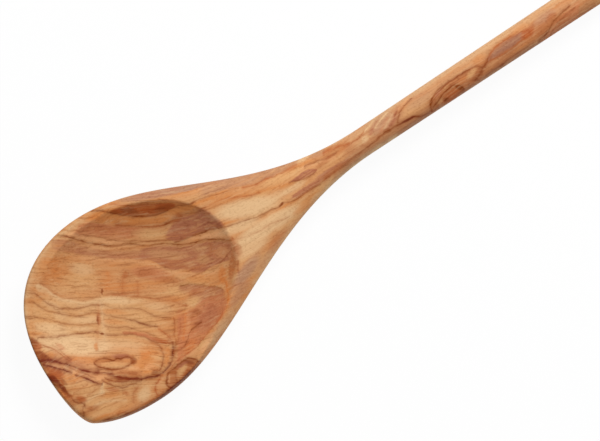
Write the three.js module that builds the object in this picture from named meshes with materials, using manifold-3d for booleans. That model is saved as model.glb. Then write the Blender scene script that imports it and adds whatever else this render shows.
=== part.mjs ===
// A corner spoon carved from one billet of olive wood.
// Millimetres, +Z up. The spoon lies as on a table: the flat under its bowl and the underside of the
// handle's end touch z = 0. +X runs from the bowl to the handle's end, and the corner is on the -Y side.

import * as THREE from 'three';
import { mergeVertices } from 'three/addons/utils/BufferGeometryUtils.js';
import Module from 'manifold-3d';

// Plan of the spoon, measured from the front edge of the bowl and from the handle's axis
const SPOON_LENGTH = 300;
const NECK_FROM_FRONT = 150;
const NECK_WIDTH = 10.8;
const HANDLE_END_WIDTH = 12;
const HANDLE_END_ROUND = 6;

// Round side of the bowl
const ROUND_SIDE_REACH = 35.8;
const ROUND_SIDE_FROM_FRONT = 41.5;

// Corner side of the bowl, with the place where its edges would meet in a sharp corner
const CORNER_SIDE_REACH = 39.2;
const CORNER_SIDE_FROM_FRONT = 32.5;
const CORNER_REACH = 30.6;
const CORNER_FROM_FRONT = 1.2;
const CORNER_ROUND_ON_FRONT = 12;
const CORNER_ROUND_ON_SIDE = 4.5;
const FRONT_POINT_REACH = 10;

// How far each curve of the outline keeps the direction it starts with
const FRONT_RUN_TO_ROUND = 40;
const FRONT_RUN_TO_CORNER = 5;
const ROUND_SIDE_RUN = 14;
const CORNER_SIDE_RUN = 17.5;
const FLARE_RUN_AT_BOWL = 35;
const FLARE_RUN_AT_NECK = 49.5;

// Hollow of the bowl, with the rim that is left round it
const HOLLOW_LENGTH = 84;
const HOLLOW_DEPTH = 10.5;
const FRONT_RIM = 3.4;
const ROUND_SIDE_RIM = 3.9;
const CORNER_SIDE_RIM = 9;
const SCOOP_CENTRE_ABOVE_RIM = 10;

// Heights, from the surface that the spoon lies on
const FLOOR_THICKNESS = 7;
const EDGE_ROUND = 1.5;
const SOLE_CUT = 1;
const NECK_LIFT = 5.5;
const NECK_HEIGHT = 11.5;
const HANDLE_END_HEIGHT = 11.5;

// Fullness of the section under the edge: 1 is an ellipse, 2 a parabola
const BELLY_POWER = 1.6;

// Facets
const TOP_STEPS = 6;
const BELLY_STEPS = 10;
const END_STEPS = 6;
const HANDLE_STEPS = 12;
const FLARE_STEPS = 30;
const FRONT_STEPS = 10;
const CORNER_STEPS = 8;
const SIDE_STEPS = 10;
const SCOOP_STEPS = 72;

const { lerp, smoothstep, clamp } = THREE.MathUtils;
const plan = (x, y) => new THREE.Vector2(x, y);

const rimHeight = FLOOR_THICKNESS + HOLLOW_DEPTH;
const bowlCentre = FRONT_RIM + HOLLOW_LENGTH / 2;
const hollowEnd = FRONT_RIM + HOLLOW_LENGTH;
const handleEndCentre = SPOON_LENGTH - HANDLE_END_ROUND;

const hollowEdges = {
  round: ROUND_SIDE_REACH - ROUND_SIDE_RIM,
  corner: CORNER_SIDE_REACH - CORNER_SIDE_RIM,
};

const wood = new THREE.MeshStandardMaterial({
  name: 'olive_wood',
  color: 0xb98550,
  roughness: 0.45,
  metalness: 0,
});

// The outline's stretches that both sides share: the rounded end, the handle and the flare to the bowl.
// side is 1 on the round side and -1 on the corner side.
function handleSide(side, reach, fromFront) {
  const tip = plan(SPOON_LENGTH, 0);
  const endSide = plan(handleEndCentre, side * HANDLE_END_WIDTH / 2);
  const neck = plan(NECK_FROM_FRONT, side * NECK_WIDTH / 2);
  const widest = plan(fromFront, side * reach);
  const end = new THREE.EllipseCurve(
    handleEndCentre, 0, HANDLE_END_ROUND, HANDLE_END_WIDTH / 2, 0, side * Math.PI / 2, side < 0,
  );
  const handle = new THREE.LineCurve(endSide, neck);
  const flare = new THREE.CubicBezierCurve(
    neck,
    plan(neck.x - FLARE_RUN_AT_NECK, neck.y),
    plan(widest.x + FLARE_RUN_AT_BOWL, widest.y),
    widest,
  );
  return [
    tip,
    ...end.getPoints(END_STEPS).slice(1),
    ...handle.getPoints(HANDLE_STEPS).slice(1),
    ...flare.getPoints(FLARE_STEPS).slice(1),
  ];
}

// From the handle's tip to the front point, along the round side
function roundSide() {
  const widest = plan(ROUND_SIDE_FROM_FRONT, ROUND_SIDE_REACH);
  const front = plan(0, -FRONT_POINT_REACH);
  const sweep = new THREE.CubicBezierCurve(
    widest,
    plan(widest.x - ROUND_SIDE_RUN, widest.y),
    plan(0, front.y + FRONT_RUN_TO_ROUND),
    front,
  );
  const steps = SIDE_STEPS + CORNER_STEPS + FRONT_STEPS;
  return [
    ...handleSide(1, ROUND_SIDE_REACH, ROUND_SIDE_FROM_FRONT),
    ...sweep.getSpacedPoints(steps).slice(1),
  ];
}

// From the handle's tip to the front point, along the corner side
function cornerSide() {
  const widest = plan(CORNER_SIDE_FROM_FRONT, -CORNER_SIDE_REACH);
  const front = plan(0, -FRONT_POINT_REACH);
  const corner = plan(CORNER_FROM_FRONT, -CORNER_REACH);
  const sideAim = plan(widest.x - CORNER_SIDE_RUN, widest.y);
  const frontAim = plan(0, front.y - FRONT_RUN_TO_CORNER);
  const towards = (aim, run) => aim.clone().sub(corner).setLength(run).add(corner);
  const onSide = towards(sideAim, CORNER_ROUND_ON_SIDE);
  const onFront = towards(frontAim, CORNER_ROUND_ON_FRONT);
  const side = new THREE.QuadraticBezierCurve(widest, sideAim, onSide);
  const rounding = new THREE.QuadraticBezierCurve(onSide, corner, onFront);
  const edge = new THREE.QuadraticBezierCurve(onFront, frontAim, front);
  return [
    ...handleSide(-1, CORNER_SIDE_REACH, CORNER_SIDE_FROM_FRONT),
    ...side.getPoints(SIDE_STEPS).slice(1),
    ...rounding.getPoints(CORNER_STEPS).slice(1),
    ...edge.getPoints(FRONT_STEPS).slice(1),
  ];
}

// Heights of the blank at a place along its spine: its top, its widest line and its underside
function heightsAt(x) {
  const toNeck = smoothstep(x, bowlCentre, NECK_FROM_FRONT);
  const toEnd = clamp((x - NECK_FROM_FRONT) / (handleEndCentre - NECK_FROM_FRONT), 0, 1);
  const handleUnder = NECK_LIFT * (1 - toEnd * toEnd);
  const handleTop = handleUnder + lerp(NECK_HEIGHT, HANDLE_END_HEIGHT, toEnd);
  return {
    top: lerp(rimHeight, handleTop, smoothstep(x, hollowEnd, NECK_FROM_FRONT)),
    edge: lerp(rimHeight - EDGE_ROUND, (handleUnder + handleTop) / 2, toNeck),
    under: lerp(-SOLE_CUT, handleUnder, toNeck),
    toNeck,
  };
}

// How far the bowl would reach towards an edge point if its front were a plain half ellipse, as a share
// of how far it does reach. It is well below 1 only where the corner stands out.
function plainShare(spine, edge) {
  const out = edge.clone().sub(spine);
  const sideReach = edge.y > 0 ? ROUND_SIDE_REACH : CORNER_SIDE_REACH;
  const plain = 1 / Math.hypot(out.x / bowlCentre, out.y / sideReach);
  return lerp(1, plain, clamp(-out.x / bowlCentre, 0, 1));
}

// Half a section, from the spine's top over the edge to its underside. In the bowl it is flat on top with
// a rounded edge and a full belly, and it turns into half of the handle's oval towards the neck. The belly
// follows the corner only near the edge.
function halfSection(spine, edge) {
  const { top, edge: edgeHeight, under, toNeck } = heightsAt(spine.x);
  const reach = spine.distanceTo(edge);
  const flat = Math.max(0, 1 - EDGE_ROUND / reach) * (1 - toNeck);
  const bellyPower = lerp(BELLY_POWER, 1, toNeck);
  const bellyShare = plainShare(spine, edge);
  const at = (out, height) => {
    const place = spine.clone().lerp(edge, out);
    return new THREE.Vector3(place.x, place.y, height);
  };
  const points = [at(0, top)];
  for (let step = 1; step <= TOP_STEPS; step++) {
    const angle = step / TOP_STEPS * Math.PI / 2;
    points.push(at(lerp(Math.sin(angle), 1, flat), lerp(edgeHeight, top, Math.cos(angle))));
  }
  for (let step = BELLY_STEPS - 1; step >= 0; step--) {
    const angle = step / BELLY_STEPS * Math.PI / 2;
    const out = Math.sin(angle);
    const height = lerp(edgeHeight, under, Math.cos(angle) ** bellyPower);
    points.push(at(out * lerp(bellyShare, 1, out * out), height));
  }
  return points;
}

// Closed rings of points, one for each pair of outline points. The spine ends inside both rounded ends,
// so the rings there fan out round its end, and the first and last ring fold shut.
function sections() {
  const corner = cornerSide();
  return roundSide().map((onRound, rib) => {
    const onCorner = corner[rib];
    const middle = (onRound.x + onCorner.x) / 2;
    const spine = plan(clamp(middle, bowlCentre, handleEndCentre), 0);
    const over = halfSection(spine, onRound);
    const back = halfSection(spine, onCorner).slice(1, -1).reverse();
    return [...over, ...back];
  });
}

// A skin over rings that have as many points each
function loft(rings) {
  const count = rings[0].length;
  const index = [];
  for (let ring = 0; ring + 1 < rings.length; ring++) {
    for (let point = 0; point < count; point++) {
      const next = (point + 1) % count;
      const a = ring * count + point;
      const b = ring * count + next;
      index.push(a, b, a + count, b, b + count, a + count);
    }
  }
  const geometry = new THREE.BufferGeometry().setFromPoints(rings.flat());
  geometry.setIndex(index);
  return geometry;
}

const wasm = await Module();
wasm.setup();

// A closed geometry as a solid: vertices in one place become one, and triangles that fold up are left out
function solidOf(geometry) {
  const bare = geometry.clone();
  bare.deleteAttribute('normal');
  bare.deleteAttribute('uv');
  const welded = mergeVertices(bare);
  const index = welded.index.array;
  const triangles = [];
  for (let i = 0; i < index.length; i += 3) {
    const [a, b, c] = index.slice(i, i + 3);
    if (a !== b && b !== c && c !== a) {
      triangles.push(a, b, c);
    }
  }
  return new wasm.Manifold(new wasm.Mesh({
    numProp: 3,
    vertProperties: new Float32Array(welded.attributes.position.array),
    triVerts: new Uint32Array(triangles),
  }));
}

function geometryOf(solid) {
  const { vertProperties, triVerts } = solid.getMesh();
  const geometry = new THREE.BufferGeometry();
  geometry.setAttribute('position', new THREE.BufferAttribute(vertProperties, 3));
  geometry.setIndex(new THREE.BufferAttribute(triVerts, 1));
  geometry.computeVertexNormals();
  return geometry;
}

// The hollow is one sweep of an ellipsoid, whose centre lies above the rim so that the walls lean out
function scoop() {
  const radius = HOLLOW_DEPTH + SCOOP_CENTRE_ABOVE_RIM;
  const shareAtRim = Math.sqrt(1 - (SCOOP_CENTRE_ABOVE_RIM / radius) ** 2);
  const width = hollowEdges.round + hollowEdges.corner;
  const geometry = new THREE.SphereGeometry(1, SCOOP_STEPS, SCOOP_STEPS / 2);
  geometry.rotateX(Math.PI / 2);
  geometry.scale(HOLLOW_LENGTH / 2 / shareAtRim, width / 2 / shareAtRim, radius);
  geometry.translate(
    bowlCentre,
    (hollowEdges.round - hollowEdges.corner) / 2,
    rimHeight + SCOOP_CENTRE_ABOVE_RIM,
  );
  return geometry;
}

// What is sanded off the belly to leave a flat sole
function soleCut() {
  const width = ROUND_SIDE_REACH + CORNER_SIDE_REACH;
  const depth = 2 * SOLE_CUT;
  const geometry = new THREE.BoxGeometry(NECK_FROM_FRONT, 2 * width, depth);
  geometry.translate(NECK_FROM_FRONT / 2, 0, -depth / 2);
  return geometry;
}

function makeSpoon() {
  const blank = solidOf(loft(sections()));
  const carved = blank.subtract(solidOf(scoop())).subtract(solidOf(soleCut()));
  const mesh = new THREE.Mesh(geometryOf(carved), wood);
  mesh.name = 'spoon';
  mesh.position.set(-SPOON_LENGTH / 2, (CORNER_SIDE_REACH - ROUND_SIDE_REACH) / 2, 0);
  return mesh;
}

const cornerSpoon = new THREE.Group();
cornerSpoon.add(makeSpoon());

export default cornerSpoon;
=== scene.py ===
"""A corner spoon carved from one billet of olive wood, lying on a pale floor with its hollow up."""

import math
from dataclasses import dataclass

import bmesh
import bpy
import numpy as np
from mathutils import Matrix, Vector


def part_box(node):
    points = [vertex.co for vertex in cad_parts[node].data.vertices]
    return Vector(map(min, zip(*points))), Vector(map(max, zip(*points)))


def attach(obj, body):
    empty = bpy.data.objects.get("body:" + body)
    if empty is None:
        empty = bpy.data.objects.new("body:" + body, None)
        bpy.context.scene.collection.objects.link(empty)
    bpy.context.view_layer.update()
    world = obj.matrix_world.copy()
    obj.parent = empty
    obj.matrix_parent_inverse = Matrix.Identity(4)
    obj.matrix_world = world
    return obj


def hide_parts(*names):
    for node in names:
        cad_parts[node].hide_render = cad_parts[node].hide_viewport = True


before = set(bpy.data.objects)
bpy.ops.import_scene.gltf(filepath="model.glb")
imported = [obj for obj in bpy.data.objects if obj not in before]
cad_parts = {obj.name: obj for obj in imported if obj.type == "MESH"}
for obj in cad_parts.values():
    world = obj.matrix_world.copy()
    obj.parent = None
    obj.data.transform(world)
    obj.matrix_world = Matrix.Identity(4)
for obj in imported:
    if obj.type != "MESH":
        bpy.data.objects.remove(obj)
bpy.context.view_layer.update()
spoon_low, spoon_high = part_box("spoon")

MM = 0.001

# Sizes of the spoon in millimetres. In plan they are measured from the bowl's front edge and from the
# handle's axis, which lies off the box's middle, with the round side on +Y and the corner side on -Y.
HANDLE_AXIS = 1.7
SPOON_LENGTH = (spoon_high.x - spoon_low.x) / MM
RIM_HEIGHT = spoon_high.z / MM
ROUND_SIDE_REACH = spoon_high.y / MM - HANDLE_AXIS
CORNER_SIDE_REACH = HANDLE_AXIS - spoon_low.y / MM

# Handle and neck
NECK_FROM_FRONT = 150
NECK_WIDTH = 10.8
NECK_LIFT = 5.5
HANDLE_HEIGHT = 11.5
HANDLE_END_WIDTH = 12
HANDLE_END_ROUND = 6
HANDLE_END_CENTRE = SPOON_LENGTH - HANDLE_END_ROUND

# Outline of the bowl, with how far each curve keeps the direction it starts with
ROUND_SIDE_FROM_FRONT = 41.5
CORNER_SIDE_FROM_FRONT = 32.5
CORNER_REACH = 30.6
CORNER_FROM_FRONT = 1.2
CORNER_ROUND_ON_FRONT = 12
CORNER_ROUND_ON_SIDE = 4.5
FRONT_POINT_REACH = 10
FRONT_RUN_TO_ROUND = 40
FRONT_RUN_TO_CORNER = 5
ROUND_SIDE_RUN = 14
CORNER_SIDE_RUN = 17.5
FLARE_RUN_AT_BOWL = 35
FLARE_RUN_AT_NECK = 49.5

# Hollow: its rim is crisp towards the handle and sanded soft towards the front edge
HOLLOW_LENGTH = 84
HOLLOW_DEPTH = 10.5
FRONT_RIM = 3.4
ROUND_SIDE_RIM = 3.9
CORNER_SIDE_RIM = 9
SCOOP_CENTRE_ABOVE_RIM = 10
RIM_ROUND_AT_BACK = 0.5
RIM_ROUND_AT_FRONT = 4
RIM_SOFT_FROM = 26
BOWL_CENTRE = FRONT_RIM + HOLLOW_LENGTH / 2
HOLLOW_END = FRONT_RIM + HOLLOW_LENGTH
HOLLOW_ROUND_EDGE = ROUND_SIDE_REACH - ROUND_SIDE_RIM
HOLLOW_CORNER_EDGE = CORNER_SIDE_REACH - CORNER_SIDE_RIM
HOLLOW_HALF_WIDTH = (HOLLOW_ROUND_EDGE + HOLLOW_CORNER_EDGE) / 2
HOLLOW_MIDDLE = (HOLLOW_ROUND_EDGE - HOLLOW_CORNER_EDGE) / 2

# Section of the bowl. Its edge rolls over by a width in plan while it drops: on the round side as a plain
# rounding, and from the corner on as a steep wall under a crisp edge. The powers say how full its curves are,
# and those of the handle make a plain oval.
ROUND_EDGE_WIDTH = 1.2
ROUND_EDGE_DROP = 1.5
ROUND_EDGE_POWER = 2
CORNER_EDGE_WIDTH = 1.2
CORNER_EDGE_DROP = 5
CORNER_EDGE_POWER = 1.3
BELLY_POWER = 1.6
HANDLE_EDGE_POWER = 2
HANDLE_BELLY_POWER = 1
SOLE_CUT = 1
SOLE_ROUND = 0.4

# Fineness of the skin: its ribs run out from the handle's axis, with rows of points along them
CURVE_STEPS = 200
FRONT_RIBS = 150
END_RIBS = 16
BOWL_SPACING = 0.8
HOLLOW_END_SPACING = 0.25
SHOULDER_SPACING = 1
HANDLE_SPACING = 2
CLOSE_RIBS_BEFORE_END = 4
CLOSE_RIBS_PAST_END = 2
HOLLOW_ROWS = 30
RIM_ROWS = 14
EDGE_ROWS = 12
BELLY_ROWS = 24
ROW_CROWDING = 1.8
LEAST_RIM_SHARE = 0.08
MOST_RIM_SHARE = 0.92
LEAST_FLAT_SHARE = 0.02
WELD_DISTANCE = 0.001

# The picture: its frame in pixels, its scale, the handle's slope in it and the point in its middle
PICTURE_WIDTH = 600
PICTURE_HEIGHT = 441
PIXEL = 0.38 * MM
HANDLE_SLOPE = math.radians(33.44)
PICTURE_CENTRE = Vector((-37.1, -9.95, 0)) * MM
PICTURE_RIGHT = Vector((math.cos(HANDLE_SLOPE), -math.sin(HANDLE_SLOPE), 0))
PICTURE_DOWN = Vector((-math.sin(HANDLE_SLOPE), -math.cos(HANDLE_SLOPE), 0))
CAMERA_DISTANCE = 2.5
SENSOR_WIDTH = 36

# Light: the key lamp's direction is turned from the picture's top towards its right
KEY_TURN = math.radians(24)
KEY_ELEVATION = math.radians(50)
KEY_DISTANCE = 1.2
KEY_SIZE = 0.5
KEY_ENERGY = 13.8
FILL_STRENGTH = 0.36

# Floor: how much of the white background it shows to the eye, over its own grey and the shadow
FLOOR_SIZE = 12
FLOOR_GREY = 0.85
FLOOR_WHITE_SHARE = 0.95


def lerp(start, end, share):
    return start + (end - start) * share


def smoothstep(value, start, end):
    share = np.clip((value - start) / (end - start), 0, 1)
    return share * share * (3 - 2 * share)


def bezier(points):
    """Closely spaced points of a Bezier curve of any degree."""
    share = np.linspace(0, 1, CURVE_STEPS + 1)[:, None]
    level = [np.array(point, float) + 0 * share for point in points]
    while len(level) > 1:
        level = [lerp(here, after, share) for here, after in zip(level, level[1:])]
    return level[0]


def evenly(line, count):
    """The same line with count points at even distances."""
    steps = np.hypot(*np.diff(line, axis=0).T)
    run = np.concatenate([[0], np.cumsum(steps)])
    places = np.linspace(0, run[-1], count)
    return np.stack([np.interp(places, run, axis) for axis in line.T], axis=1)


def bowl_side(side):
    """Curves of one side of the bowl from the front point to its widest point."""
    front = np.array((0, -FRONT_POINT_REACH))
    if side > 0:
        widest = (ROUND_SIDE_FROM_FRONT, ROUND_SIDE_REACH)
        start_aim = front + (0, FRONT_RUN_TO_ROUND)
        end_aim = (ROUND_SIDE_FROM_FRONT - ROUND_SIDE_RUN, ROUND_SIDE_REACH)
        return [[front, start_aim, end_aim, widest]]
    widest = (CORNER_SIDE_FROM_FRONT, -CORNER_SIDE_REACH)
    corner = np.array((CORNER_FROM_FRONT, -CORNER_REACH))
    front_aim = front - (0, FRONT_RUN_TO_CORNER)
    side_aim = np.array((CORNER_SIDE_FROM_FRONT - CORNER_SIDE_RUN, -CORNER_SIDE_REACH))
    to_front = front_aim - corner
    to_side = side_aim - corner
    on_front = corner + to_front * CORNER_ROUND_ON_FRONT / np.hypot(*to_front)
    on_side = corner + to_side * CORNER_ROUND_ON_SIDE / np.hypot(*to_side)
    return [[front, front_aim, on_front], [on_front, corner, on_side], [on_side, side_aim, widest]]


def outline(side):
    """One side of the plan from the front point to where the handle's end starts to round off."""
    curves = bowl_side(side)
    widest = np.array(curves[-1][-1])
    neck = np.array((NECK_FROM_FRONT, side * NECK_WIDTH / 2))
    flare = [widest, widest + (FLARE_RUN_AT_BOWL, 0), neck - (FLARE_RUN_AT_NECK, 0), neck]
    handle = [neck, (HANDLE_END_CENTRE, side * HANDLE_END_WIDTH / 2)]
    return np.concatenate([bezier(curve) for curve in (*curves, flare, handle)])


def stations():
    """Places of the straight ribs along the handle's axis, closest where the hollow ends."""
    close = (HOLLOW_END - CLOSE_RIBS_BEFORE_END, HOLLOW_END + CLOSE_RIBS_PAST_END)
    stops = (BOWL_CENTRE, *close, NECK_FROM_FRONT, HANDLE_END_CENTRE)
    spacings = (BOWL_SPACING, HOLLOW_END_SPACING, SHOULDER_SPACING, HANDLE_SPACING)
    runs = []
    for start, end, spacing in zip(stops, stops[1:], spacings):
        runs.append(np.linspace(start, end, round((end - start) / spacing), endpoint=False))
    return np.concatenate([*runs, [HANDLE_END_CENTRE]])


def rib_edges(side):
    """Where each rib meets the outline: a fan round the bowl, straight ribs, and a fan round the end."""
    line = outline(side)
    along = stations()
    straight = np.stack([along, np.interp(along, line[:, 0], line[:, 1])], axis=1)
    front = np.concatenate([line[line[:, 0] < BOWL_CENTRE], straight[:1]])
    turn = np.linspace(math.pi / 2, 0, END_RIBS)
    end_along = np.cos(turn) * HANDLE_END_ROUND + HANDLE_END_CENTRE
    end = np.stack([end_along, np.sin(turn) * side * HANDLE_END_WIDTH / 2], axis=1)
    return np.concatenate([evenly(front, FRONT_RIBS)[:-1], straight, end[1:]])


def rim_share(spine, edge):
    """How far out along each rib the hollow's rim lies."""
    half = np.array((HOLLOW_LENGTH / 2, HOLLOW_HALF_WIDTH))
    start = (spine - (BOWL_CENTRE, HOLLOW_MIDDLE)) / half
    step = (edge - spine) / half
    a = (step * step).sum(1)
    b = (start * step).sum(1)
    c = (start * start).sum(1) - 1
    root = np.sqrt(np.maximum(b * b - a * c, 0))
    return np.clip((root - b) / a, LEAST_RIM_SHARE, MOST_RIM_SHARE)


def row_shares(rim, flat, to_handle):
    """Places of the upper rows along each rib: crowded at the rim and the edge, even round the handle."""
    rim, flat = rim[:, None], np.maximum(flat, rim + LEAST_FLAT_SHARE)[:, None]
    inward = np.linspace(1, 0, HOLLOW_ROWS + 1)[None]
    outward = np.linspace(0, 1, RIM_ROWS + 1)[None, 1:]
    rolling = np.sin(np.linspace(0, math.pi / 2, EDGE_ROWS + 1))[None, 1:]
    bowl = np.concatenate([
        rim * (1 - inward ** ROW_CROWDING),
        rim + (flat - rim) * outward ** ROW_CROWDING,
        flat + (1 - flat) * rolling,
    ], axis=1)
    rows = bowl.shape[1]
    handle = np.sin(np.linspace(0, math.pi / 2, rows))[None]
    return lerp(bowl, handle, to_handle[:, None])


def hollow_floor(x, y):
    """Height of the scooped ellipsoid, carried on straight outside the rim."""
    out = np.hypot((x - BOWL_CENTRE) / (HOLLOW_LENGTH / 2), (y - HOLLOW_MIDDLE) / HOLLOW_HALF_WIDTH)
    radius = HOLLOW_DEPTH + SCOOP_CENTRE_ABOVE_RIM
    share_at_rim = math.sqrt(1 - (SCOOP_CENTRE_ABOVE_RIM / radius) ** 2)
    inside = np.sqrt(1 - (np.minimum(out, 1) * share_at_rim) ** 2)
    slope_at_rim = radius * radius * share_at_rim ** 2 / SCOOP_CENTRE_ABOVE_RIM
    return RIM_HEIGHT + SCOOP_CENTRE_ABOVE_RIM - radius * inside + slope_at_rim * np.maximum(out - 1, 0)


def rounded_lower(first, second, rounding):
    """The lower of two heights, with the crease between them rounded off."""
    near = np.maximum(rounding - np.abs(first - second), 0) / rounding
    return np.minimum(first, second) - near * near * rounding / 4


def plain_share(out):
    """How far a plain half ellipse would reach along each rib, as a share of how far the bowl does."""
    reach = np.where(out[:, 1] > 0, ROUND_SIDE_REACH, CORNER_SIDE_REACH)
    plain = 1 / np.hypot(out[:, 0] / BOWL_CENTRE, out[:, 1] / reach)
    return lerp(1, plain, np.clip(-out[:, 0] / BOWL_CENTRE, 0, 1))


def half_skin(side):
    """Rows of points over one half of the spoon, rib by rib, from the spine's top round to its underside."""
    edge = rib_edges(side)
    spine = np.stack([np.clip(edge[:, 0], BOWL_CENTRE, HANDLE_END_CENTRE), 0 * edge[:, 0]], axis=1)
    out = edge - spine
    to_neck = smoothstep(spine[:, 0], BOWL_CENTRE, NECK_FROM_FRONT)
    to_end = np.clip((spine[:, 0] - NECK_FROM_FRONT) / (HANDLE_END_CENTRE - NECK_FROM_FRONT), 0, 1)
    handle_under = NECK_LIFT * (1 - to_end ** 2)
    to_handle = smoothstep(spine[:, 0], HOLLOW_END, NECK_FROM_FRONT)
    top = lerp(RIM_HEIGHT, handle_under + HANDLE_HEIGHT, to_handle)[:, None]
    to_corner = smoothstep(-edge[:, 1], FRONT_POINT_REACH, CORNER_REACH)
    to_corner = np.where(edge[:, 0] > BOWL_CENTRE, side < 0, to_corner)
    edge_drop = lerp(ROUND_EDGE_DROP, CORNER_EDGE_DROP, to_corner)
    edge_width = lerp(ROUND_EDGE_WIDTH, CORNER_EDGE_WIDTH, to_corner)
    edge_power = lerp(ROUND_EDGE_POWER, CORNER_EDGE_POWER, to_corner)
    middle = lerp(RIM_HEIGHT - edge_drop, handle_under + HANDLE_HEIGHT / 2, to_neck)[:, None]
    under = lerp(-SOLE_CUT, handle_under, to_neck)[:, None]
    flat = np.maximum(0, 1 - edge_width / np.hypot(*out.T)) * (1 - to_neck)

    shares = row_shares(rim_share(spine, edge), flat, to_handle)
    rolled = np.clip((shares - flat[:, None]) / (1 - flat[:, None]), 0, 1)
    power = lerp(edge_power, HANDLE_EDGE_POWER, to_neck)[:, None]
    upper = lerp(middle, top, (1 - rolled ** power) ** (1 / power))

    angle = np.linspace(math.pi / 2, 0, BELLY_ROWS + 1)[None, 1:]
    belly_out = np.sin(angle) * lerp(plain_share(out)[:, None], 1, np.sin(angle) ** 2)
    belly_power = lerp(BELLY_POWER, HANDLE_BELLY_POWER, to_neck)[:, None]
    lower = lerp(middle, under, np.cos(angle) ** belly_power)

    shares = np.concatenate([shares, belly_out], axis=1)
    heights = np.concatenate([upper, lower], axis=1)
    places = spine[:, None] + out[:, None] * shares[:, :, None]
    to_front = smoothstep(-places[..., 0], -RIM_SOFT_FROM, -FRONT_RIM)
    softness = lerp(RIM_ROUND_AT_BACK, RIM_ROUND_AT_FRONT, to_front)
    carved = rounded_lower(heights, hollow_floor(places[..., 0], places[..., 1]), softness)
    is_upper = np.arange(shares.shape[1]) < upper.shape[1]
    heights = np.where(is_upper, carved, heights)
    heights = -rounded_lower(-heights, 0 * heights, SOLE_ROUND)
    return np.concatenate([places, heights[..., None]], axis=2)


def make_spoon():
    """The spoon's fine skin: both halves, welded along the spine and at the fans' centres."""
    mesh = bpy.data.meshes.new("carved_spoon")
    skin = bmesh.new()
    for side in (1, -1):
        points = half_skin(side)
        points += (-SPOON_LENGTH / 2, HANDLE_AXIS, 0)
        ribs, rows, _ = points.shape
        corners = [skin.verts.new(point) for point in points.reshape(-1, 3) * MM]
        for rib in range(ribs - 1):
            for row in range(rows - 1):
                first = rib * rows + row
                ring = (first, first + 1, first + rows + 1, first + rows)
                skin.faces.new([corners[index] for index in ring])
    bmesh.ops.remove_doubles(skin, verts=skin.verts, dist=WELD_DISTANCE * MM)
    bmesh.ops.dissolve_degenerate(skin, edges=skin.edges, dist=WELD_DISTANCE * MM)
    bmesh.ops.recalc_face_normals(skin, faces=skin.faces)
    skin.to_mesh(mesh)
    skin.free()
    mesh.polygons.foreach_set("use_smooth", [True] * len(mesh.polygons))
    spoon = bpy.data.objects.new("carved_spoon", mesh)
    bpy.context.collection.objects.link(spoon)
    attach(spoon, "root")
    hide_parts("spoon")
    return spoon


def srgb(red, green, blue):
    """A colour as it looks on a screen, turned into the linear colour that shaders take."""
    shares = np.array((red, green, blue)) / 255
    linear = np.where(shares <= 0.04045, shares / 12.92, ((shares + 0.055) / 1.055) ** 2.4)
    return (*linear.tolist(), 1)


# Colours of the wood; some of them also paint sheen, light and shade, where the marks say so
PALE = srgb(220, 181, 135)
PEACH = srgb(222, 162, 112)
HONEY = srgb(212, 161, 108)
TAN = srgb(202, 142, 92)
GOLD = srgb(203, 129, 70)
ORANGE = srgb(202, 112, 48)
ROSE = srgb(192, 119, 78)
# A dusky grey-brown: a tone of the wood, and also the colour of painted sheen on rims and edges
DUSK_AND_PAINTED_SHEEN = srgb(172, 126, 98)
MAUVE = srgb(170, 104, 74)
BROWN = srgb(166, 92, 48)
RUST = srgb(168, 82, 34)
UMBER = srgb(136, 66, 26)
LINE = srgb(130, 58, 8)
PURPLE = srgb(112, 38, 8)

# What the dark threads and pores of the grain take off the colour under them
SHADE = srgb(206, 184, 168)

# Waver of the figure, in pixels of the picture: the length of its waves and how far they move it
WAVES = ((24, 3), (8, 2), (3, 0.9))

# How far the marks' edges stray with the grain's streaks, in pixels, and where along the picture it sets in
RAGGED = 2
RAGGED_PLACES = (340, 280)

# How far the grain lies above a level line at places along the picture: it follows the handle
GRAIN_BEND = ((0, 0), (150, 0), (230, 22), (300, 62), (400, 128), (600, 260))

# How much the grain rises in each pixel to the right in the corner, and between which rows it sets in
CORNER_CLIMB = 0.4
CORNER_CLIMB_ROWS = (370, 400)

# Sizes of the noises' lumps in pixels: along the grain, across it and in depth
WEAR_LUMPS = (12, 9, 9)
COMB_LUMPS = (22, 2.6, 4)
STREAK_LUMPS = (70, 8, 12)
RING_LUMPS = (240, 36, 60)
THREAD_LUMPS = (48, 2.4, 4)
FIBRE_LUMPS = (9, 0.9, 1.5)
FLECK_LUMPS = (2.6, 1.8, 2)
RINGS = 7

# Fades of what the noises draw: the values where each starts and ends, then what it is after and before them
WEAR_FADE = (0.34, 0.6, 1.1, 0.65)
COMB_FADE = (0.3, 0.56, 1.1, 0.55)
HONEY_FADE = (0.48, 0.72, 0.8)
GOLD_FADE = (0.52, 0.3, 0.8)
RING_FADE = (0.5, 1, 0.5)
RING_EDGE_FADE = (0.88, 1, 0.7)
THREAD_FADE = (0.5, 0.8, 0.85)
PALE_THREAD_FADE = (0.5, 0.2, 0.35)
FIBRE_FADE = (0.5, 0.8, 0.3)
FLECK_FADE = (0.5, 0.75, 0.45)

# How the threads grow calmer along the picture, from the bowl to the shoulder
CALM_FADE = (200, 250, 0.45, 1)

# Where plain ringed grain takes over: as the surface turns down, and at the handle's end past the picture
UNDERSIDE_FADE = (0.2, -0.4)
HANDLE_END_FADE = (590, 620)

# Finish of the oiled wood, with the depth of its fibres in millimetres
SPECULAR_LEVEL = 0.1
SHEEN = 0.5
SHEEN_ROUGHNESS = 0.3
LEAST_ROUGHNESS = 0.5
MOST_ROUGHNESS = 0.65
FIBRE_BUMP = 0.12
FIBRE_DEPTH = 0.1


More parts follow.
